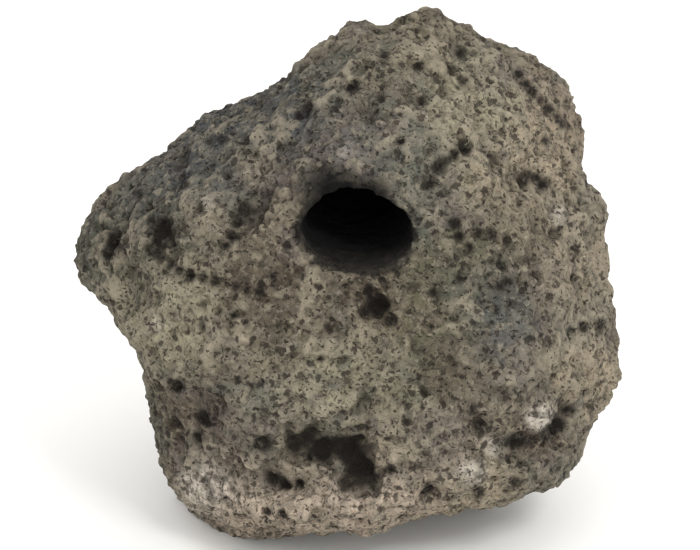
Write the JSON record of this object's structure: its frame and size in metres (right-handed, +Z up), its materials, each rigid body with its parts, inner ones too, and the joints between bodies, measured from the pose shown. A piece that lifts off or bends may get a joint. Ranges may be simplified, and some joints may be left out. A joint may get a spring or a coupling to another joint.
{
  "type": "aquarium lava rock",
  "caption": "Rounded lump of vesicular lava on a flat broken underside, with a round blind tunnel in its leaning front face as a hide for small fish.",
  "frame": {"origin": "on the ground under the middle of the rock's bounding box", "axes": "+Z up out of the flat foot, -Y out of the side with the tunnel, +X across the rock's longest side"},
  "size_m": [0.1402, 0.112, 0.1273],
  "materials": {
    "lava_stone": "dull, rough and full of gas pits"
  },
  "bodies": {
    "root": {"lava_rock": "lava_stone"}
  },
  "joints": []
}
